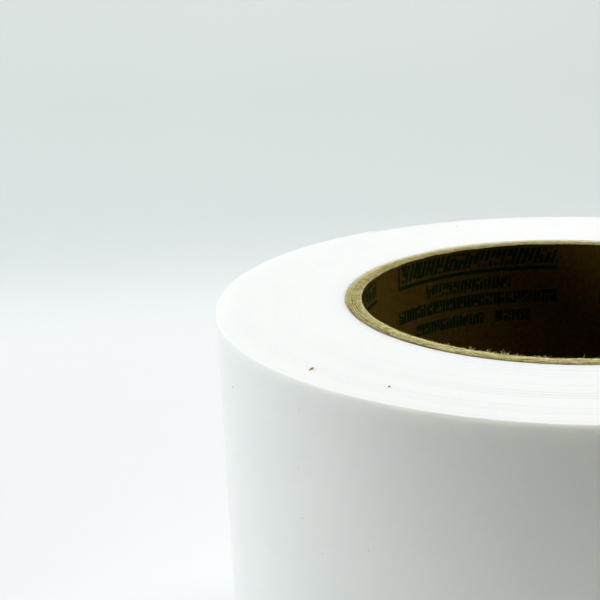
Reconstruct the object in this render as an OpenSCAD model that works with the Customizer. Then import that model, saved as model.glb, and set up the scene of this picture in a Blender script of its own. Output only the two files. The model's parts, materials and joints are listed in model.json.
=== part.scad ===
// Roll of white adhesive film on a spiral-wound paperboard core, standing on one end.
// Origin: centre of the core's bore at the roll's lower end face. +Z runs along the core.
//
// The film is one web, wound outward and counterclockwise as seen from above. Each turn is
// two half circles: the first is centred on the core, and the second has its centre moved
// by half the film's thickness towards the free end. So the web runs on without a step,
// every turn is exactly one film thick, and the free end stands one thickness proud.
// The last stretch, up to the free end, is cut into the segments that peel off.

/* [Core] */
// Inside diameter of the core, a standard 3 in
core_id = 76.2; // [60:0.1:152.4]
// Thickness of the core's wall, 1/8 in
core_wall = 3.175; // [1.5:0.025:6]
// How far the core's upper end stops short of the film's edge
core_recess = 0.1; // [0:0.1:3]

/* [Film] */
// Width of the film, which is the height of the standing roll
film_width = 101.6; // [25.4:0.1:200]
// Thickness of the film with its adhesive coat
film_t = 0.245; // [0.1:0.005:0.5]
// Full turns of film on the core
turns = 99; // [40:1:160]

/* [Free end] */
// Where the free end stops, in degrees counterclockwise from +X
end_angle = 120; // [0:1:359]
// Length of film between two bend lines of the part that peels off
segment_length = 6.25; // [5:0.25:15]
// Length of the grip tab, where the film is folded under itself
tab_length = 12; // [5:0.5:15]
// Clearance between the part that peels off and the film beside and beneath it
clearance = 0.02; // [0.01:0.01:0.05]

/* [Hidden] */
PLIES = 7;
SEGMENTS = 10;
$fn = 240;

bore_r = core_id / 2;
ply_t = core_wall / PLIES;
core_r = bore_r + core_wall;
core_length = film_width - core_recess;

// The last turn's first half circle, and the second one with its moved centre.
full_r = core_r + turns * film_t;
centre_shift = film_t / 2;
last_r = full_r + film_t / 2;

// Angles are measured at the moved centre, back from the free end at 0.
segment_angle = degrees_of(segment_length);
tab_angle = degrees_of(tab_length);
tail_root = -tab_angle - SEGMENTS * segment_angle;
gap_angle = degrees_of(clearance / 2);

// The angle that an arc of this length takes on the film's outer surface.
function degrees_of(arc) = arc / last_r * 180 / PI;

// Where tail segment i starts. Its bend line is there, on the film's outer surface.
function segment_start(i) = tail_root + (i - 1) * segment_angle;

// Turns the spiral so that its free end stops at end_angle.
module placed() {
    rotate(end_angle) children();
}

// The half of a disc above (side 1) or below (side -1) the X axis.
module half_disc(r, side) {
    intersection() {
        circle(r);
        translate([-r, side > 0 ? 0 : -r]) square([2 * r, r]);
    }
}

// A piece of ring round the moved centre, between two angles less than 180 degrees apart.
module arc_piece(inner_r, outer_r, from, to) {
    reach = 3 * outer_r;
    middle = (from + to) / 2;
    translate([centre_shift, 0])
        intersection() {
            difference() {
                circle(outer_r);
                circle(inner_r);
            }
            polygon([[0, 0], for (a = [from, middle, to]) reach * [cos(a), sin(a)]]);
        }
}

// Paperboard ply i of the core, counted outward from the bore.
module core_ply(i) {
    shade = 0.62 - 0.02 * (i % 2);
    color([shade, 0.92 * shade, 0.68 * shade])
        linear_extrude(core_length)
            difference() {
                circle(bore_r + i * ply_t);
                circle(bore_r + (i - 1) * ply_t);
            }
}

// The web from the core to the root of the part that peels off.
module wound_film() {
    color("white")
        linear_extrude(film_width)
            placed()
                difference() {
                    union() {
                        half_disc(full_r, 1);
                        translate([centre_shift, 0]) half_disc(last_r, -1);
                    }
                    circle(core_r);
                    arc_piece(last_r - film_t, last_r + film_t, tail_root, 0);
                }
}

// Segment i of the part that peels off. It bends outward about its start.
module tail(i) {
    color([0.97, 0.97, 0.95])
        linear_extrude(film_width)
            placed()
                arc_piece(
                    last_r - film_t + clearance,
                    last_r,
                    segment_start(i) + gap_angle,
                    segment_start(i + 1) - gap_angle
                );
}

// The last stretch, folded under itself, adhesive to adhesive, to grip it by.
module grip_tab() {
    color([0.93, 0.94, 0.92])
        linear_extrude(film_width)
            placed()
                arc_piece(last_r - film_t + clearance, last_r + film_t, -tab_angle, 0);
}

for (i = [1:PLIES])
    core_ply(i);
wound_film();
for (i = [1:SEGMENTS])
    tail(i);
grip_tab();
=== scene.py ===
"""A roll of white adhesive film on a paperboard core, standing on end on a pale sweep.

Everything is in metres, in the CAD model's frame: the origin is the centre of the core's bore
at the roll's lower end face, and +Z runs up the core. Angles round the roll are in radians,
counterclockwise from +X as seen from above. A winding is the angle that the web has turned
through since its start at the core.
"""

import json
import math

import bpy
import numpy as np
from mathutils import Matrix, Vector


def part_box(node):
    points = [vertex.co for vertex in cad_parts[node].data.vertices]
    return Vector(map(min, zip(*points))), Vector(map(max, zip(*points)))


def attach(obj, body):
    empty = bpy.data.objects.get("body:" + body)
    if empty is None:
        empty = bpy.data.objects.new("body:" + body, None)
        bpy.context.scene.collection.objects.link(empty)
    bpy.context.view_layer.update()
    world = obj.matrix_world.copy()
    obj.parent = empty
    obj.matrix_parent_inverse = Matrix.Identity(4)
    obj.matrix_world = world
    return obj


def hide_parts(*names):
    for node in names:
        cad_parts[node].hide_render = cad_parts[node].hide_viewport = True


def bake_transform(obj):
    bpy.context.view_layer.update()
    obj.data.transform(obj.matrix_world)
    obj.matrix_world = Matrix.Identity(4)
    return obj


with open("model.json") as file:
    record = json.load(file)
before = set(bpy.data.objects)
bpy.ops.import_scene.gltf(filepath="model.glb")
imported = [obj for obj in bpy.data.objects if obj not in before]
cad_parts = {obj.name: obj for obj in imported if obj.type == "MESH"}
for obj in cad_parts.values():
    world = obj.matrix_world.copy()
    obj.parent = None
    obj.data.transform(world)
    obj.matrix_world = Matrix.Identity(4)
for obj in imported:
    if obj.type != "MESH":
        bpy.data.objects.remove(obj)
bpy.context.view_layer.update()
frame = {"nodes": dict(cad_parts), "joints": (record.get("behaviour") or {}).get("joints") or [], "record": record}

MM = 0.001
TURN = 2 * math.pi

# ---------------------------------------------------------------- sizes

# The web: how thick it is, how many turns it makes, and where its free end stops.
FILM_T = 0.245 * MM
TURNS = 99
END_ANGLE = math.radians(120)
TAB_LENGTH = 12 * MM
# How far the layer that peels off stays clear of the film beneath it.
CLEARANCE = 0.01 * MM

FILM_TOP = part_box("wound_film")[1].z
CORE_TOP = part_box("core_ply_1")[1].z
PLIES = sum(name.startswith("core_ply") for name in frame["nodes"])
BORE_R = frame["record"]["mounts"][0]["dims"]["r_mm"] * MM
CORE_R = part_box(f"core_ply_{PLIES}")[1].x
PLY_T = (CORE_R - BORE_R) / PLIES
LAST_R = CORE_R + (TURNS + 0.5) * FILM_T

# The stretch that peels off runs from ROOT to END, which are windings. Its bend lines are the
# CAD joints.
HINGES = [Vector(joint["pos_m"]) for joint in frame["joints"]]
SEGMENT = (HINGES[1] - HINGES[0]).length
SEGMENT_ANGLE = 2 * math.asin(SEGMENT / 2 / LAST_R)
TAB_ANGLE = TAB_LENGTH / LAST_R
END = TURNS * TURN
ROOT = END - TAB_ANGLE - len(HINGES) * SEGMENT_ANGLE


def spiral_radius(winding):
    """The web's inner radius at a winding.

    As in the CAD model, each turn is a half circle centred on the core, then a half circle
    whose centre is moved by half the film's thickness.
    """
    turn, within = np.divmod(np.asarray(winding, float), TURN)
    step = np.where(within > math.pi, (1 + np.cos(within)) / 2, 0)
    return CORE_R + (turn + step) * FILM_T


def around(radius, angle):
    """X and Y of points at this radius and angle, as an array with a last axis of 2."""
    return np.stack([radius * np.cos(angle), radius * np.sin(angle)], axis=-1)


# ---------------------------------------------------------------- noise and meshes


def ring_noise(seed, count, waves):
    """Smooth noise of about unit size that closes up round a ring of count points."""
    rng = np.random.default_rng(seed)
    angle = np.arange(count) * TURN / count
    total = np.zeros(count)
    for wave in range(1, waves + 1):
        total += rng.normal() * np.cos(wave * angle + rng.uniform(0, TURN))
    return total / math.sqrt(waves / 2)


def knot_noise(seed, at, spacing):
    """Smooth noise along a line: random knots this far apart, joined by smooth curves."""
    rng = np.random.default_rng(seed)
    at = np.asarray(at, float) / spacing
    knots = rng.normal(size=int(at.max()) + 2)
    cell = np.floor(at).astype(int)
    share = smooth(at - cell)
    return knots[cell] * (1 - share) + knots[cell + 1] * share


def smooth(share):
    """0 to 1 with level ends, from a straight 0 to 1."""
    return share * share * (3 - 2 * share)


def grid_faces(rows, columns, closed=False):
    """Quads over a grid of vertices numbered row by row. closed joins the last column to the first."""
    across = columns if closed else columns - 1
    r, c = np.meshgrid(np.arange(rows - 1), np.arange(across), indexing="ij")
    after = (c + 1) % columns
    corners = [r * columns + c, r * columns + after, (r + 1) * columns + after, (r + 1) * columns + c]
    return np.stack(corners, axis=-1).reshape(-1, 4)


def capped(rings):
    """Vertices and faces of a closed solid through rings of points, an array of (ring, point, 3).

    Each ring runs counterclockwise about the way from the first ring to the last.
    """
    count, sides = rings.shape[:2]
    faces = grid_faces(count, sides, closed=True).tolist()
    faces.append(list(range(sides))[::-1])
    faces.append(list(range((count - 1) * sides, count * sides)))
    return rings.reshape(-1, 3), faces


def joined(solids):
    """The vertices and faces of several solids as one."""
    vertices, faces, start = [], [], 0
    for points, polygons in solids:
        vertices.append(points)
        faces += [[start + n for n in polygon] for polygon in polygons]
        start += len(points)
    return np.concatenate(vertices), faces


def store(piece, name, values):
    """Keeps a number for each vertex on the piece's mesh, for a material to read."""
    layer = piece.data.attributes.new(name, "FLOAT", "POINT")
    layer.data.foreach_set("value", np.asarray(values, np.float32))


def keep_place(mesh):
    """Stores where each vertex is at rest, so that a material stays put when the film bends."""
    places = np.empty(3 * len(mesh.vertices), np.float32)
    mesh.vertices.foreach_get("co", places)
    mesh.attributes.new("place", "FLOAT_VECTOR", "POINT").data.foreach_set("vector", places)


def make_piece(name, vertices, faces, materials, indices=None, sharp=35):
    """A mesh object, smooth except at edges over sharp degrees.

    faces is an array, or a list of lists. indices gives each face's place in materials.
    """
    mesh = bpy.data.meshes.new(name)
    polygons = faces.tolist() if isinstance(faces, np.ndarray) else faces
    mesh.from_pydata(vertices.tolist(), [], polygons)
    for material in materials:
        mesh.materials.append(material)
    if indices is not None:
        mesh.polygons.foreach_set("material_index", np.asarray(indices, np.int32))
    mesh.shade_smooth()
    mesh.set_sharp_from_angle(angle=math.radians(sharp))
    mesh.validate()
    keep_place(mesh)
    piece = bpy.data.objects.new(name, mesh)
    bpy.context.scene.collection.objects.link(piece)
    return piece


# ---------------------------------------------------------------- materials

# How far light travels inside the wound roll.
SCATTER_REACH = 2.4 * MM
# What the camera sees past the end of the sweep.
SURROUND = (0.73, 0.80, 0.775)


class Shader:
    """A material's nodes, with short calls for the ones that these materials are made of."""

    def __init__(self, name):
        self.material = bpy.data.materials.new(name)
        self.material.use_nodes = True
        self.tree = self.material.node_tree
        self.surface = self.tree.nodes["Principled BSDF"]

    def node(self, kind, **settings):
        made = self.tree.nodes.new("ShaderNode" + kind)
        for key, value in settings.items():
            setattr(made, key, value)
        return made

    def feed(self, value, socket):
        """Links another node's output to a socket, or sets the socket to a plain value."""
        if isinstance(value, bpy.types.NodeSocket):
            self.tree.links.new(value, socket)
        else:
            socket.default_value = value

    def set(self, **values):
        """Feeds the surface's own sockets, with _ in place of the spaces in their names."""
        for key, value in values.items():
            self.feed(value, self.surface.inputs[key.replace("_", " ")])

    def math(self, operation, *values):
        made = self.node("Math", operation=operation)
        for value, socket in zip(values, made.inputs):
            self.feed(value, socket)
        return made.outputs[0]

    def place(self):
        """Where the surface is at rest, in metres."""
        return self.node("Attribute", attribute_name="place").outputs["Vector"]

    def stored(self, name):
        """A number kept on the mesh by store()."""
        return self.node("Attribute", attribute_name=name).outputs["Fac"]

    def stretched(self, vector, scale):
        made = self.node("Mapping")
        self.feed(vector, made.inputs["Vector"])
        made.inputs["Scale"].default_value = scale
        return made.outputs[0]

    def noise(self, vector, scale, detail=2.0, roughness=0.5):
        made = self.node("TexNoise")
        self.feed(vector, made.inputs["Vector"])
        made.inputs["Scale"].default_value = scale
        made.inputs["Detail"].default_value = detail
        made.inputs["Roughness"].default_value = roughness
        return made.outputs["Fac"]

    def ramp(self, factor, *stops):
        """Colours or greys along a factor. Each stop is (factor, colour)."""
        made = self.node("ValToRGB")
        self.feed(factor, made.inputs["Fac"])
        elements = made.color_ramp.elements
        while len(elements) < len(stops):
            elements.new(1.0)
        for element, (position, colour) in zip(elements, stops):
            element.position = position
            element.color = (*colour, 1) if isinstance(colour, tuple) else (colour,) * 3 + (1,)
        return made.outputs["Color"]

    def mix(self, factor, first, second, blend="MIX"):
        made = self.node("Mix", data_type="RGBA", blend_type=blend)
        self.feed(factor, made.inputs["Factor"])
        colours = [socket for socket in made.inputs if socket.type == "RGBA"]
        for value, socket in zip((first, second), colours):
            self.feed((*value, 1) if isinstance(value, tuple) else value, socket)
        return [socket for socket in made.outputs if socket.type == "RGBA"][0]

    def bump(self, height, distance, strength):
        made = self.node("Bump")
        made.inputs["Strength"].default_value = strength
        made.inputs["Distance"].default_value = distance
        self.feed(height, made.inputs["Height"])
        self.set(Normal=made.outputs[0])

    def scatter(self):
        """Light that goes in and comes out a little way off, red the farthest, where there is bulk behind."""
        weight = self.math("MULTIPLY", self.stored("bulk"), 0.8)
        radii = (1.0, 0.95, 0.7)
        self.set(Subsurface_Weight=weight, Subsurface_Radius=radii, Subsurface_Scale=SCATTER_REACH)


def film_material(name, scatters):
    """The web's outer side: satin white polyethylene.

    Light gets into the wound roll, and not far into one layer.
    """
    shader = Shader(name)
    place = shader.place()
    cloud = shader.noise(place, 40, 3)
    shader.set(Base_Color=shader.ramp(cloud, (0.3, (0.80, 0.825, 0.805)), (0.7, (0.83, 0.85, 0.83))))
    shader.set(Roughness=shader.ramp(shader.noise(place, 220, 3), (0.3, 0.34), (0.7, 0.44)))
    if scatters:
        shader.scatter()
    shader.bump(shader.noise(place, 900, 3), 0.02 * MM, 0.25)
    return shader.material


def edge_material():
    """The wound web's end faces, where the turns' cut edges lie side by side."""
    shader = Shader("film_edges")
    place = shader.place()
    cloud = shader.noise(place, 60, 3)
    clean = shader.ramp(cloud, (0.3, (0.845, 0.855, 0.835)), (0.7, (0.86, 0.868, 0.85)))
    # Marked turns are painted dark: painted shade of the steps between turns, and dark adhesive edges.
    grime_and_painted_shade = shader.math("MULTIPLY", shader.stored("grime_and_painted_shade"), 0.8)
    shader.set(Base_Color=shader.mix(grime_and_painted_shade, clean, (0.62, 0.62, 0.57)))
    shader.set(Roughness=shader.ramp(shader.noise(place, 700, 2), (0.3, 0.5), (0.7, 0.62)))
    shader.scatter()
    shader.bump(shader.noise(place, 2500, 2), 0.02 * MM, 0.3)
    return shader.material


def adhesive_material():
    """The web's inner side, with its coat of clear adhesive: glossier, and a little uneven."""
    shader = Shader("adhesive_side")
    place = shader.place()
    cloud = shader.noise(place, 90, 4)
    shader.set(Base_Color=shader.ramp(cloud, (0.3, (0.76, 0.77, 0.71)), (0.7, (0.81, 0.82, 0.77))))
    shader.set(Roughness=shader.ramp(shader.noise(place, 500, 3), (0.3, 0.12), (0.7, 0.26)))
    shader.bump(shader.noise(place, 1400, 3), 0.03 * MM, 0.4)
    return shader.material


def board_colour(shader, place, dark, light, speck):
    """Recycled paperboard: mottled, with short fibres and a few dark specks.

    Returns the colour, and the fibres for the bump to follow.
    """
    mottle = shader.ramp(shader.noise(place, 900, 5, 0.7), (0.36, dark), (0.64, light))
    fibres = shader.noise(shader.stretched(place, (1, 1, 0.25)), 2600, 3, 0.7)
    streaked = shader.mix(shader.ramp(fibres, (0.42, 0.0), (0.66, 0.6)), mottle, light)
    specks = shader.ramp(shader.noise(place, 2300, 2), (0.6, 0.0), (0.68, 0.8))
    return shader.mix(specks, streaked, speck), fibres


def board_material():
    """The cut rim of the core and its plies: grey-tan board, paler with ragged fibres and painted highlight, dark
    with glue lines and painted shade.
    """
    shader = Shader("core_board")
    place = shader.place()
    dark, light, speck = (0.22, 0.178, 0.038), (0.48, 0.41, 0.122), (0.085, 0.06, 0.013)
    colour, fibres = board_colour(shader, place, dark, light, speck)
    # Paler with ragged fibres, a painted highlight at the bore's front edge, and painted light from the film at
    # the back.
    colour_with_fray_and_painted_light = shader.mix(shader.stored("fray_and_painted_light"), colour, (0.80, 0.72, 0.40))
    # Dark in the glue lines, and with painted shade in the gap against the film, over the crushed band and at the
    # back.
    shader.set(Base_Color=shader.mix(shader.stored("grime_and_painted_shade"), colour_with_fray_and_painted_light, (0.075, 0.050, 0.012)), Roughness=0.92)
    shader.bump(fibres, 0.1 * MM, 0.8)
    return shader.material


# The print on the liner, in millimetres: a block's width, and how often it repeats round the
# bore and down it.
PRINT_W, PRINT_PITCH, PRINT_DROP = 40.2, 49.4, 34.0
# A block ends this far round from +Y, clockwise as seen from above.
PRINT_END = math.radians(11)


def print_place(shader, place):
    """How far a point is round its block of print, and how far down it, in millimetres.

    The bore isn't a whole number of blocks round, so the block at -Y is cut short.
    """
    split = shader.node("SeparateXYZ")
    shader.feed(place, split.inputs[0])
    wobble = shader.math("MULTIPLY", shader.math("SUBTRACT", shader.noise(place, 1500, 2), 0.5), 0.4)
    clockwise = shader.math("ARCTAN2", split.outputs["X"], split.outputs["Y"])
    turned = shader.math("SUBTRACT", clockwise, PRINT_END)
    blocks = shader.math("MULTIPLY", turned, BORE_R / MM / PRINT_PITCH)
    along = shader.math("MULTIPLY_ADD", shader.math("FRACT", blocks), PRINT_PITCH, PRINT_W - PRINT_PITCH)
    depth = shader.math("MULTIPLY_ADD", split.outputs["Z"], -1 / MM, CORE_TOP / MM)
    down = shader.math("MODULO", shader.math("ADD", depth, wobble), PRINT_DROP)
    return shader.math("ADD", along, wobble), down


def print_mask(shader, place):
    """Where the core's liner is inked: 1 on the ink, 0 off it.

    Each block is a row of large upright strokes over a rule, then three rows of small ones.
    They are only marks, not letters.
    """
    along, down = print_place(shader, place)

    def between(value, low, high):
        above = shader.math("GREATER_THAN", value, low)
        return shader.math("MULTIPLY", above, shader.math("LESS_THAN", value, high))

    def box(top, bottom, left, right):
        return shader.math("MULTIPLY", between(down, top, bottom), between(along, left, right))

    def apart(first, second):
        return shader.math("ABSOLUTE", shader.math("SUBTRACT", first, second))

    def random(cell, seed, spread, least):
        """A number from least to least + spread, the same all over a cell."""
        made = shader.node("TexWhiteNoise", noise_dimensions="1D")
        shader.feed(shader.math("ADD", cell, seed), made.inputs["W"])
        return shader.math("MULTIPLY_ADD", made.outputs["Value"], spread, least)

    def marks(top, bottom, left, right, spacing, weight, slant=0.0):
        """A row of upright strokes, each at least weight of the spacing wide.

        They are broken at odd heights, and some are joined to the next.
        """
        strokes = shader.math("DIVIDE", shader.math("MULTIPLY_ADD", down, slant, along), spacing)
        cell = shader.math("FLOOR", strokes)
        within = shader.math("FRACT", strokes)
        height = shader.math("DIVIDE", shader.math("SUBTRACT", down, top), bottom - top)
        stroke = shader.math("LESS_THAN", within, random(cell, top + 0.3, 0.25, weight))
        whole = shader.math("GREATER_THAN", apart(height, random(cell, top + 7.7, 1.6, -0.3)), 0.11)
        joint = shader.math("LESS_THAN", apart(height, random(cell, top + 3.1, 1.8, 0.1)), 0.1)
        inked = shader.math("MAXIMUM", shader.math("MULTIPLY", stroke, whole), joint)
        return shader.math("MULTIPLY", inked, box(top, bottom, left, right))

    rule = box(4.9, 5.7, 0.0, PRINT_W)
    margin = box(0.8, 5.7, 0.0, 0.55)
    mask = shader.math("MAXIMUM", rule, margin)
    for row in (
        marks(0.7, 4.3, 1.3, PRINT_W, 1.25, 0.6, 0.35),
        marks(6.7, 9.5, 9.0, 30.0, 0.95, 0.58, 0.1),
        marks(10.4, 13.2, 0.0, PRINT_W, 0.9, 0.72),
        marks(14.7, 17.3, 5.6, 24.0, 0.85, 0.68),
        marks(14.7, 17.3, 26.5, 34.5, 0.95, 0.68),
    ):
        mask = shader.math("MAXIMUM", mask, row)
    return mask


def liner_material():
    """The bore's own ply: brown kraft, printed in dark green."""
    shader = Shader("core_liner")
    place = shader.place()
    dark, light, speck = (0.078, 0.045, 0.003), (0.122, 0.072, 0.006), (0.04, 0.022, 0.002)
    colour, fibres = board_colour(shader, place, dark, light, speck)
    wear = shader.ramp(shader.noise(place, 900, 3), (0.25, 0.85), (0.45, 1.0))
    ink = shader.math("MULTIPLY", print_mask(shader, place), wear)
    shader.set(Base_Color=shader.mix(ink, colour, (0.004, 0.019, 0.002)))
    shader.set(Roughness=0.85, Specular_IOR_Level=0.08)
    shader.bump(fibres, 0.05 * MM, 0.5)
    return shader.material


def fibre_material():
    """Loose paper fibres, paler than the board they stand on."""
    shader = Shader("paper_fibre")
    cloud = shader.noise(shader.place(), 2200, 2)
    shader.set(Base_Color=shader.ramp(cloud, (0.35, (0.52, 0.44, 0.17)), (0.65, (0.80, 0.71, 0.40))))
    shader.set(Roughness=0.9)
    return shader.material


def dust_material():
    """Cardboard dust from slitting."""
    shader = Shader("cardboard_dust")
    cloud = shader.noise(shader.place(), 3000, 3)
    shader.set(Base_Color=shader.ramp(cloud, (0.4, (0.14, 0.06, 0.02)), (0.6, (0.48, 0.26, 0.10))))
    shader.set(Roughness=0.9)
    return shader.material


def stage_material():
    """The pale sweep, greener and greyer up the backdrop, fading into the surround far from the roll."""
    shader = Shader("pale_sweep")
    split = shader.node("SeparateXYZ")
    shader.feed(shader.node("TexCoord").outputs["Object"], split.inputs[0])
    # Y in metres, and the sweep's colour there: greener up the backdrop, and greyed further back by painted shade.
    tones = (
        (-1.0, (0.90, 0.90, 0.90)),
        (-0.05, (0.90, 0.90, 0.90)),
        (0.08, (0.79, 0.80, 0.80)),
        (0.30, (0.825, 0.84, 0.845)),
        (0.37, (0.785, 0.815, 0.815)),
        (0.44, (0.715, 0.755, 0.75)),
        (0.52, (0.675, 0.725, 0.715)),
        (0.69, (0.68, 0.73, 0.71)),
        (0.80, (0.73, 0.775, 0.75)),
    )
    front, back = tones[0][0], tones[-1][0]
    share = shader.math("DIVIDE", shader.math("SUBTRACT", split.outputs["Y"], front), back - front)

    def stop(y, tone):
        return (y - front) / (back - front), tone

    colour = shader.ramp(share, *(stop(y, tone) for y, tone in tones))
    # Painted shade deepens a little across the backdrop from left to right. A ramp starts at 0, so X is moved up.
    behind = shader.ramp(share, stop(0.25, 0.0), stop(0.45, 1.0))
    rightward = shader.math("ADD", split.outputs["X"], 0.5)
    painted_shade_rightward = shader.ramp(rightward, (0.38, 1.0), (0.74, 0.925))
    shader.set(Base_Color=shader.mix(behind, colour, painted_shade_rightward, "MULTIPLY"), Roughness=0.8)
    sideways = shader.math("ABSOLUTE", split.outputs["X"])
    forwards = shader.math("MULTIPLY", split.outputs["Y"], -2)
    far = shader.math("MAXIMUM", sideways, forwards)
    shader.set(Alpha=shader.ramp(far, (0.4, 1.0), (0.9, 0.0)))
    return shader.material


WHITE = film_material("white_film", scatters=True)
LAYER = film_material("white_film_layer", scatters=False)
EDGES = edge_material()
ADHESIVE = adhesive_material()
BOARD = board_material()
LINER = liner_material()
FIBRE = fibre_material()
DUST = dust_material()
SWEEP = stage_material()

# ---------------------------------------------------------------- the wound web

# Columns of faces in a turn, and rows of faces down the outer wall.
STEPS = 192
WALL_ROWS = 40
# The marks are clearest on this side of the roll.
MARKS_FACE = math.radians(-70)
# Turns whose edges stand out on the end faces, sunk a little and painted dark as shade of their
# steps and as dark adhesive edges: radius in millimetres, and how strongly.
MARKED_TURNS = (
    (43.9, 0.4), (45.4, 0.5), (46.7, 0.3), (50.4, 0.5), (52.2, 0.45), (53.5, 0.7),
    (54.5, 1.0), (55.5, 0.6), (59.4, 0.5), (60.5, 0.5), (61.6, 0.4), (64.4, 0.6),
)
# Over this length light stops getting into the roll, so the root's line matches the loose layer.
ROOT_FADE = 12 * MM


def marked(winding):
    """How much the web's edge stands out here, 0 to 1. The marks come and go round the roll."""
    radius = spiral_radius(winding) / MM
    mark_w = 0.2
    nearby = 0.06 + 0.94 * (0.5 + 0.5 * np.cos(winding + END_ANGLE - MARKS_FACE)) ** 3
    strength = np.zeros(len(winding))
    for i, (centre, share) in enumerate(MARKED_TURNS):
        waver = 0.6 + 0.25 * np.sin(winding + 2.4 * i) + 0.15 * np.sin(3 * winding + 1.1 * i)
        strength += share * nearby * waver * np.exp(-(((radius - centre) / mark_w) ** 2))
    return strength


def edge_recess(winding, seed):
    """How far the web's cut edge lies below the flat of the end face: a small wander along the web."""
    wander = 0.010 * MM * np.abs(knot_noise(seed, winding, TURN * 0.45))
    return wander + 0.05 * MM * marked(winding)


def web_edges(winding):
    """Z of the web's lower and upper edges."""
    return edge_recess(winding, 2), FILM_TOP - edge_recess(winding, 1)


def wall_swell(angle, z):
    """Soft bands and hollows of the outer wall, from small changes in the film's thickness."""
    up = z / FILM_TOP
    fade = np.clip(np.minimum(up, 1 - up) / 0.03, 0, 1)
    bands = np.sin(9.0 * up + 1.3) + 0.6 * np.sin(23.0 * up + 0.4) + 0.3 * np.sin(51.0 * up)
    hollows = np.sin(3 * angle + 2.1 * up) + 0.5 * np.sin(7 * angle - 3.0 * up + 1.0)
    return fade * (0.020 * MM * bands + 0.025 * MM * hollows)


def spiral_faces(count):
    """The strip's faces, apart from the outer wall. Each of its count columns has 4 corners."""
    inner_top, outer_top, inner_low, outer_low = range(4)

    def strip(columns, first, second, ahead=0):
        """Quads between one corner of each column and another, of the column this many ahead."""
        a = 4 * columns + first
        b = 4 * (columns + ahead) + second
        return np.column_stack([a, b, b + 4, a + 4])

    columns = np.arange(count - 1)
    under = columns[:-STEPS]
    last = 4 * (count - 1)
    start_cut = [inner_top, inner_low, outer_low, outer_top]
    root_cut = [last + inner_top, last + outer_top, last + outer_low, last + inner_low]
    return np.concatenate(
        [
            strip(columns, inner_top, outer_top),
            strip(columns, outer_low, inner_low),
            # Risers join each turn's outer edge to the next turn's inner edge, at the same radius.
            strip(under, outer_top, inner_top, ahead=STEPS),
            strip(under + STEPS, inner_low, outer_low, ahead=-STEPS),
            # The wall against the core.
            strip(columns[:STEPS], inner_low, inner_top),
            [start_cut, root_cut],
        ]
    )


def wound_film():
    """The web from the core to the root of the part that peels off, as one spiral strip.

    Its end faces step from turn to turn, so the turns can be counted.
    """
    step = TURN / STEPS
    count = int(ROOT / step) + 1
    winding = ROOT - step * np.arange(count - 1, -1, -1)
    angle = winding + END_ANGLE
    bottom, top = web_edges(winding)
    inner = around(spiral_radius(winding), angle)
    outer = around(spiral_radius(winding + TURN), angle)
    corners = [(inner, top), (outer, top), (inner, bottom), (outer, bottom)]
    edges = np.stack([np.column_stack([xy, z]) for xy, z in corners], axis=1).reshape(-1, 3)
    edge_faces = spiral_faces(count)

    # The last turn's outer wall, with rows between its top and bottom edges that carry the swell.
    last = slice(-STEPS - 1, None)
    share = np.arange(1, WALL_ROWS)[:, None] / WALL_ROWS
    z = top[last] * (1 - share) + bottom[last] * share
    radius = spiral_radius(winding[last] + TURN) + wall_swell(angle[last], z)
    rows = np.concatenate([around(radius, angle[last]), z[..., None]], axis=-1).reshape(-1, 3)
    columns = 4 * np.arange(count)[last]
    number = np.vstack([columns + 1, len(edges) + np.arange(z.size).reshape(z.shape), columns + 3])
    wall_faces = number.ravel()[grid_faces(WALL_ROWS + 1, STEPS + 1)[:, ::-1]]

    vertices = np.concatenate([edges, rows])
    faces = np.concatenate([edge_faces, wall_faces])
    indices = np.repeat([1, 0], [len(edge_faces), len(wall_faces)])
    piece = make_piece("wound_turns", vertices, faces, [WHITE, EDGES], indices)
    # The marked turns' edges are painted dark: painted shade of their steps, with dark adhesive edges.
    store(piece, "grime_and_painted_shade", np.concatenate([np.repeat(marked(winding), 4), np.zeros(z.size)]))
    bulk = np.clip((ROOT - winding) * LAST_R / ROOT_FADE, 0, 1)
    store(piece, "bulk", np.concatenate([np.repeat(bulk, 4), np.tile(bulk[last], len(z))]))
    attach(piece, "roll")
    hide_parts("wound_film")


# ---------------------------------------------------------------- the stretch that peels off


def film_slab(name, path, normal, low, high):
    """A closed slab of film along a path of points, half its thickness each side of it.

    The side that normal points to is plain film, and the other carries the adhesive. low and
    high are Z of its two edges at each point.
    """
    share = np.linspace(0, 1, WALL_ROWS + 1)[:, None]
    levels = high * (1 - share) + low * share
    sides = []
    for outward in (0.5, -0.5):
        xy = path + normal * (FILM_T - CLEARANCE) * outward
        angle = np.arctan2(xy[:, 1], xy[:, 0])
        radius = np.hypot(xy[:, 0], xy[:, 1]) + wall_swell(angle, levels)
        side = np.concatenate([around(radius, angle), levels[..., None]], axis=-1)
        sides.append(side.reshape(-1, 3))
    rows, columns = levels.shape
    number = np.arange(rows * columns).reshape(rows, columns)
    other = number + rows * columns

    def strip(a, b):
        """Quads between the ends of the two sides, facing out of the slab."""
        return np.column_stack([a[:-1], a[1:], b[1:], b[:-1]])

    faces = [
        grid_faces(rows, columns)[:, ::-1],
        grid_faces(rows, columns) + rows * columns,
        strip(number[0], other[0]),
        strip(other[-1], number[-1]),
        strip(other[:, 0], number[:, 0]),
        strip(number[:, -1], other[:, -1]),
    ]
    indices = np.repeat([0, 1, 0, 0, 0, 0], [len(group) for group in faces])
    return make_piece(name, np.concatenate(sides), np.concatenate(faces), [LAYER, ADHESIVE], indices)


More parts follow.
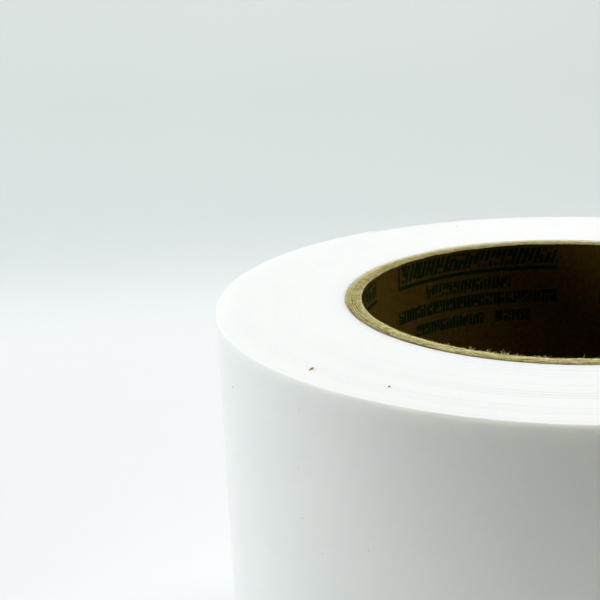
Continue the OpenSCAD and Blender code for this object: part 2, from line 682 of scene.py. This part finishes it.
def peeling_webs():
    """The film between the root and the middle of the last segment, one piece across each bend line."""
    for i, hinge in enumerate(HINGES):
        bend = ROOT + i * SEGMENT_ANGLE
        # The first piece starts on its own bend line, and the others half a segment before theirs.
        start = bend - (SEGMENT_ANGLE / 2 if i else 0)
        stop = bend + SEGMENT_ANGLE / 2
        winding = np.linspace(start, stop, 17)
        angle = winding + END_ANGLE
        path = around(spiral_radius(winding) + (FILM_T + CLEARANCE) / 2, angle)
        piece = film_slab(f"peeling_film_{i + 1}", path, around(1.0, angle), *web_edges(winding))
        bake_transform(piece)
        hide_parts(f"tail_{i + 1}")


def grip_tab():
    """The rest of the web, with its tip folded under itself, adhesive to adhesive.

    The path runs along the outer layer, which climbs by one thickness over the fold's end, round
    the tip, and back along the folded layer.
    """
    start = ROOT + (len(HINGES) - 0.5) * SEGMENT_ANGLE
    fold = END - TAB_ANGLE
    climb = 1.5 * MM / LAST_R
    layer = FILM_T + CLEARANCE
    tip = END - FILM_T / LAST_R
    over = np.concatenate([np.linspace(start, fold, 9), np.linspace(fold, tip, 25)[1:]])
    lift = smooth(np.clip((over - fold) / climb + 0.5, 0, 1)) * layer
    round_tip = np.linspace(math.pi / 2, -math.pi / 2, 9)[1:-1]
    under = np.linspace(tip, fold + climb / 2, 25)
    winding = np.concatenate([over, tip + layer / 2 * np.cos(round_tip) / LAST_R, under])
    height = np.concatenate([lift, layer / 2 * (1 + np.sin(round_tip)), np.zeros(len(under))])
    # At END itself the spiral would step out, to a turn that isn't there.
    within = np.minimum(winding, END - 1e-6)
    radius = spiral_radius(within) + layer / 2 + height
    path = around(radius, winding + END_ANGLE)
    along = np.gradient(path, axis=0)
    along /= np.linalg.norm(along, axis=1, keepdims=True)
    normal = np.column_stack([along[:, 1], -along[:, 0]])
    piece = film_slab("folded_grip_tab", path, normal, *web_edges(winding))
    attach(piece, frame["joints"][-1]["child"])
    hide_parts("grip_tab")


# ---------------------------------------------------------------- the core

RIM_STEPS = 720
RIM_ANGLES = np.arange(RIM_STEPS) * TURN / RIM_STEPS
# Where a ply's rim has rows of vertices, as shares of its thickness, and the share over which
# it falls into the glue line at each side.
RIM_ROWS = (0.0, 0.1, 0.22, 0.4, 0.6, 0.78, 0.9, 1.0)
RIM_FALL = 0.22
# How deep a wide-open glue line goes.
GROOVE = 0.16 * MM
# No part of a rim stands more than this above the core's end, apart from loose fibres.
PROUDEST = 0.07 * MM
# Each ply is a strip that meets itself in a narrow dip at the rim, staggered from ply to ply.
BUTT_W, BUTT_DEPTH = 0.35 * MM, 0.3 * MM
FIRST_BUTT, BUTT_STEP = math.radians(20), 2.4
# At the front the rim is crushed where it meets the film, and painted dark there as shade in the gap.
# The crushed band fades out over CRUSH_W.
CRUSH_W, CRUSH_DEPTH = 0.56 * MM, 0.15 * MM
# How open the glue line outside each ply is, from the liner outward; the more open, the more dark.
# The last one is the gap between the core and the film, where the dark is painted shade. The bore's
# own edge is rounded as if by a line open this far.
GLUE_LINES = (0.35, 0.2, 0.45, 1.0, 0.25, 0.4, 1.0)
BORE_EDGE = 0.5
# The rim is crushed and its fibres ragged most on this side, with a painted highlight along the bore's
# edge and painted shade against the film. The opposite side has painted shade and painted light from the film.
CRUSHED_AND_PAINTED_SIDE = math.radians(-115)
# The seam of the printed ply runs down the bore as a helix.
SEAM_PITCH, SEAM_W, SEAM_DEPTH = 110 * MM, 0.45 * MM, 0.22 * MM
LINER_ROWS = 80
# Where the cut has left tufts of fibres on the core's inner edge, in degrees.
TUFTS = (-132, -126, -121, -117, -114, -107, -99, -84, -63, 35, 150)


def butt_angle(ply):
    """Where a ply's strip meets itself at the rim."""
    return (FIRST_BUTT + (ply - 1) * BUTT_STEP) % TURN


def seam_depth(z):
    """How far the printed ply's seam sinks into the bore's wall at this height, all the way round."""
    seam = butt_angle(1) - (CORE_TOP - z) / SEAM_PITCH * TURN
    off = (RIM_ANGLES - seam + math.pi) % TURN - math.pi
    return SEAM_DEPTH * np.exp(-((off * BORE_R / SEAM_W) ** 2))


def crown(ply, end):
    """The cut rim of a ply at its top (end 0) or bottom (end 1), as rows from the bore outward.

    Each row is (radius, height above the core's end, grime_and_painted_shade, fray_and_painted_light).
    The cut rounds off into the glue line at each side, and the board's fibres roughen it. At the front
    it is ragged and painted pale as a highlight at the bore's edge, and crushed and painted dark as shade
    against the film. At the back it is cleaner, with painted shade dark at the bore's edge and painted
    light from the film pale against the film.
    """
    seed = 20 * ply + end
    rng = np.random.default_rng(seed)
    level = 0.03 * MM * ring_noise(seed, RIM_STEPS, 40)
    butt = np.exp(-(((RIM_ANGLES - butt_angle(ply)) * BORE_R / BUTT_W) ** 2))
    # front weighs the crushing, the ragged fibres, and the painted highlight and shade of this side; back weighs
    # the painted shade and painted light opposite.
    front = 0.1 + 0.9 * (0.5 + 0.5 * np.cos(RIM_ANGLES - CRUSHED_AND_PAINTED_SIDE)) ** 2
    back = 1 - front
    openness = []
    for line in (ply - 1, ply):
        patchy = np.clip(0.7 + 0.5 * ring_noise(500 + 2 * line + end, RIM_STEPS, 30), 0.1, 1.6)
        openness.append((GLUE_LINES[line - 1] if line else BORE_EDGE) * patchy)
    rows = []
    burr = np.abs(rng.normal(size=RIM_STEPS)) * 0.05 * MM if ply == 1 else 0
    for share in RIM_ROWS:
        near_bore = max(0, 1 - share / RIM_FALL)
        near_film = max(0, 1 - (1 - share) / RIM_FALL)
        from_bore = (ply - 1 + share) * PLY_T
        from_film = CORE_R - BORE_R - from_bore
        fall = openness[0] * near_bore + openness[1] * near_film
        rough = rng.normal(size=RIM_STEPS) * 0.022 * MM
        patches = np.clip(rng.uniform(size=RIM_STEPS) + 0.25 * ring_noise(900 + seed, RIM_STEPS, 120), 0, 1)
        crush = front**2 * np.clip(2.3 - from_film / CRUSH_W, 0, 1)
        dips = fall * GROOVE + butt * BUTT_DEPTH + crush * CRUSH_DEPTH
        height = np.minimum(level + rough, PROUDEST) - dips
        in_lines = 0.0 if ply == 1 and share < 0.2 else np.clip(fall * 0.85 + butt * 0.8, 0, 1)
        inward = from_film / (CORE_R - BORE_R)
        # Dark in the glue lines and butt dips, the more the wider they are open, less so at the back. Painted
        # shade: in the gap against the film, over the crushed band, and at the back towards the bore.
        grime_and_painted_shade = np.clip(in_lines * (1 - 0.7 * back) + crush + 0.75 * back * inward, 0, 1)
        # Painted highlight along the bore's edge at the front, with ragged fibres.
        ragged_and_painted_highlight = front * (0.3 + 0.8 * patches) * np.clip(1.15 - from_bore / (0.8 * MM), 0, 1)
        # Painted light from the white film, along the rim's outer edge at the back.
        pale = 0.9 * back * max(0, 1 - 2.5 * inward)
        fray_and_painted_light = np.clip(0.6 * patches**2 + ragged_and_painted_highlight + pale, 0, 1)
        rows.append((BORE_R + from_bore - burr * near_bore, height, grime_and_painted_shade, fray_and_painted_light))
    return rows


def core_ply(ply):
    """One ply of the core, with its cut rims. The printed ply's bore wall follows its helical seam."""
    top = [(radius, CORE_TOP + height, grime_and_painted_shade, fray_and_painted_light) for radius, height, grime_and_painted_shade, fray_and_painted_light in crown(ply, 0)]
    low = [(radius, np.maximum(-height, 0), grime_and_painted_shade, fray_and_painted_light) for radius, height, grime_and_painted_shade, fray_and_painted_light in crown(ply, 1)]
    profile = top + low[::-1]
    if ply == 1:
        clean = np.zeros(RIM_STEPS)
        for share in np.linspace(0, 1, LINER_ROWS)[1:-1]:
            z = low[0][1] * (1 - share) + top[0][1] * share
            profile.append((BORE_R + seam_depth(z), z, clean, clean))
    rows = [np.column_stack([around(radius, RIM_ANGLES), z]) for radius, z, _, _ in profile]
    faces = grid_faces(len(rows) + 1, RIM_STEPS, closed=True) % (len(rows) * RIM_STEPS)
    indices = np.zeros(len(faces), int)
    indices[: RIM_STEPS * (len(top) - 1)] = 1
    materials = [LINER if ply == 1 else BOARD, BOARD]
    piece = make_piece(f"core_ply_{ply}_board", np.concatenate(rows), faces[:, ::-1], materials, indices)
    store(piece, "grime_and_painted_shade", np.concatenate([grime_and_painted_shade for _, _, grime_and_painted_shade, _ in profile]))
    store(piece, "fray_and_painted_light", np.concatenate([fray_and_painted_light for _, _, _, fray_and_painted_light in profile]))
    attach(piece, "roll")
    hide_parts(f"core_ply_{ply}")


def hair(path, radius):
    """A three-sided fibre along a path of points, thinner towards its tip, as vertices and faces."""
    along = np.gradient(path, axis=0)
    along /= np.linalg.norm(along, axis=1, keepdims=True)
    slanting = [0.3, 0.5, 0.81]
    side = np.cross(along, slanting)
    side /= np.linalg.norm(side, axis=1, keepdims=True)
    other = np.cross(along, side)
    taper = radius * np.linspace(1, 0.35, len(path))[:, None, None]
    spin = np.arange(3) * TURN / 3
    ring = np.cos(spin)[None, :, None] * side[:, None] + np.sin(spin)[None, :, None] * other[:, None]
    return capped(path[:, None] + taper * ring)


def rim_fibres():
    """Paper fibres that the cut left standing on the core's inner edge.

    The first ones are long, in tufts, the next are short, all over the front, and the rest are
    scattered all the way round.
    """
    rng = np.random.default_rng(7)
    in_tufts, in_front, count = 110, 1600, 2000
    up = np.array([0, 0, 1])
    t = np.linspace(0, 1, 6)[:, None]
    hairs = []
    for i in range(count):
        if i < in_tufts:
            angle = math.radians(rng.choice(TUFTS) + rng.normal() * 0.7)
            length = rng.uniform(0.4, 1.2) * MM
        elif i < in_front:
            angle = math.radians(rng.uniform(-155, -35))
            length = rng.uniform(0.1, 0.4) * MM
        else:
            angle = rng.uniform(0, TURN)
            length = rng.uniform(0.15, 0.45) * MM
        radius = BORE_R + rng.uniform(-0.02, 0.3) * MM
        root = np.array([*around(radius, angle), CORE_TOP - 0.05 * MM])
        inward = -np.array([*around(1.0, angle), 0])
        across = np.array([-inward[1], inward[0], 0])
        lean = inward * rng.uniform(-0.1, 0.8) + across * rng.normal() * 1.1 + up * rng.uniform(0.2, 0.8)
        lean /= np.linalg.norm(lean)
        curl = across * rng.normal() * 0.5 + inward * rng.uniform(-0.3, 0.3) - up * rng.uniform(0, 0.6)
        path = root + length * (lean * t + curl * t * t * 0.6)
        hair_r = (rng.uniform(0.03, 0.055) if i < in_tufts else rng.uniform(0.02, 0.04)) * MM
        hairs.append(hair(path, hair_r))
    piece = make_piece("rim_fibres", *joined(hairs), [FIBRE], sharp=180)
    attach(piece, "roll")


# ---------------------------------------------------------------- dust

# Specks on the end face: X, Y, length and width in millimetres, and heading in degrees.
TOP_SPECKS = (
    (-48.4, -37.0, 1.5, 0.42, 62),
    (-36.9, -46.5, 0.42, 0.34, 20),
    (22, 49, 0.3, 0.24, 0),
    (50.5, 12, 0.22, 0.176, 0),
    (-12, 58, 0.16, 0.128, 0),
)
# Specks on the wall: angle in degrees, then distance below the end face and length in millimetres.
WALL_SPECKS = (
    (-161.3, 8.4, 0.22), (-140.5, 4.9, 0.2), (-141.3, 15.2, 0.24), (-142.4, 19.8, 0.14),
    (-140.9, 23.7, 0.2), (-137.1, 28.4, 0.22), (-128.7, 24.7, 0.2), (35, 60, 0.25), (170, 33, 0.2),
)


def chip(rng, centre, normal, along, size):
    """A flat speck with uneven sides, as vertices and faces. size is (length, width, height)."""
    length, width, height = size
    sides = 9
    # A chip has three rings: how high each is, and how wide, as shares of the chip's own.
    rings = ((-0.3, 0.8), (0.35, 1.0), (1.0, 0.45))
    across = np.cross(normal, along)
    points = []
    for level, spread in rings:
        for turn in np.arange(sides) * TURN / sides:
            reach = spread * (1 + rng.uniform(-0.25, 0.25)) / 2
            offset = along * math.cos(turn) * length + across * math.sin(turn) * width
            points.append(centre + offset * reach + normal * height * level)
    return capped(np.array(points).reshape(len(rings), sides, 3))


def cardboard_dust():
    """Specks of cardboard dust on the end face and the wall."""
    rng = np.random.default_rng(11)
    up = np.array([0.0, 0.0, 1.0])
    chips = []
    for x, y, length, width, heading in TOP_SPECKS:
        centre = np.array([x * MM, y * MM, FILM_TOP])
        along = np.array([*around(1.0, math.radians(heading)), 0])
        chips.append(chip(rng, centre, up, along, (length * MM, width * MM, 0.14 * MM)))
    for angle, below, length in WALL_SPECKS:
        out = np.array([*around(1.0, math.radians(angle)), 0])
        centre = out * (LAST_R - FILM_T * 0.4) + up * (FILM_TOP - below * MM)
        chips.append(chip(rng, centre, out, up, (length * MM, 0.7 * length * MM, 0.05 * MM)))
    piece = make_piece("cardboard_dust", *joined(chips), [DUST], sharp=180)
    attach(piece, "roll")


# ---------------------------------------------------------------- the stage, the light and the camera


def sweep():
    """A pale floor that curves up into a backdrop behind the roll."""
    front, bend_start, bend_r, height, half_w = -4.0, 0.42, 0.6, 3.0, 4.0
    turn = np.linspace(0, math.pi / 2, 33)
    curve = np.column_stack([bend_start + bend_r * np.sin(turn), bend_r * (1 - np.cos(turn))])
    profile = [(front, 0.0), (-bend_start, 0.0), *curve, (bend_start + bend_r, height)]
    vertices = np.array([(x, y, z) for y, z in profile for x in (-half_w, half_w)])
    piece = make_piece("sweep", vertices, grid_faces(len(profile), 2), [SWEEP], sharp=80)


def softbox(name, place, aim, size, power, colour=(1, 1, 1)):
    """A flat light that faces the point aim, unseen by the camera. size is its width and height."""
    light = bpy.data.lights.new(name, "AREA")
    light.shape = "RECTANGLE"
    light.size, light.size_y = size
    light.energy = power
    light.color = colour
    lamp = bpy.data.objects.new(name, light)
    lamp.location = place
    lamp.rotation_euler = (Vector(aim) - Vector(place)).to_track_quat("-Z", "Y").to_euler()
    lamp.visible_camera = False
    bpy.context.scene.collection.objects.link(lamp)


def camera():
    """The photograph's view: close, a little above the roll, and looking past its left-hand part."""
    place = Vector((-0.0497, -0.2116, FILM_TOP + 0.0624))
    pitch, roll = math.radians(-16.27), math.radians(-2.58)
    forward = Vector((0, math.cos(pitch), math.sin(pitch)))
    side = Vector((1, 0, 0))
    upward = side.cross(forward)
    right = side * math.cos(roll) + upward * math.sin(roll)
    up = upward * math.cos(roll) - side * math.sin(roll)
    data = bpy.data.cameras.new("camera")
    data.sensor_width, data.lens = 36, 70.2
    data.clip_start = 0.005
    view = bpy.data.objects.new("camera", data)
    axes = Matrix([right, up, -forward]).transposed().to_4x4()
    view.matrix_world = Matrix.Translation(place) @ axes
    bpy.context.scene.collection.objects.link(view)
    bpy.context.scene.camera = view


def surroundings():
    """A pale surround that only the camera sees, so that all the light comes from the softboxes."""
    world = bpy.data.worlds.new("studio")
    world.use_nodes = True
    background = world.node_tree.nodes["Background"]
    background.inputs["Color"].default_value = (*SURROUND, 1)
    bpy.context.scene.world = world
    for ray in ("diffuse", "glossy", "transmission", "scatter"):
        setattr(world.cycles_visibility, ray, False)
    bpy.context.scene.view_settings.view_transform = "Standard"


camera()
wound_film()
peeling_webs()
grip_tab()
for number in range(1, PLIES + 1):
    core_ply(number)
rim_fibres()
cardboard_dust()
sweep()
surroundings()
softbox("overhead", (0.45, 0.15, 1.2), (0, 0.1, 0), (0.6, 0.6), 16.1)
softbox("left", (-1.05, 0.2, 0.33), (0, 0, 0), (0.9, 0.5), 9.3, (0.94, 0.98, 1.0))
softbox("front", (0.33, -0.75, 0.09), (0, 0, 0.05), (0.8, 0.16), 0.3, (1.0, 0.75, 0.3))
softbox("floor", (-0.03, -0.115, 0.003), (-0.03, -0.1, 0.1), (0.2, 0.06), 0.034, (0.86, 1.0, 0.9))
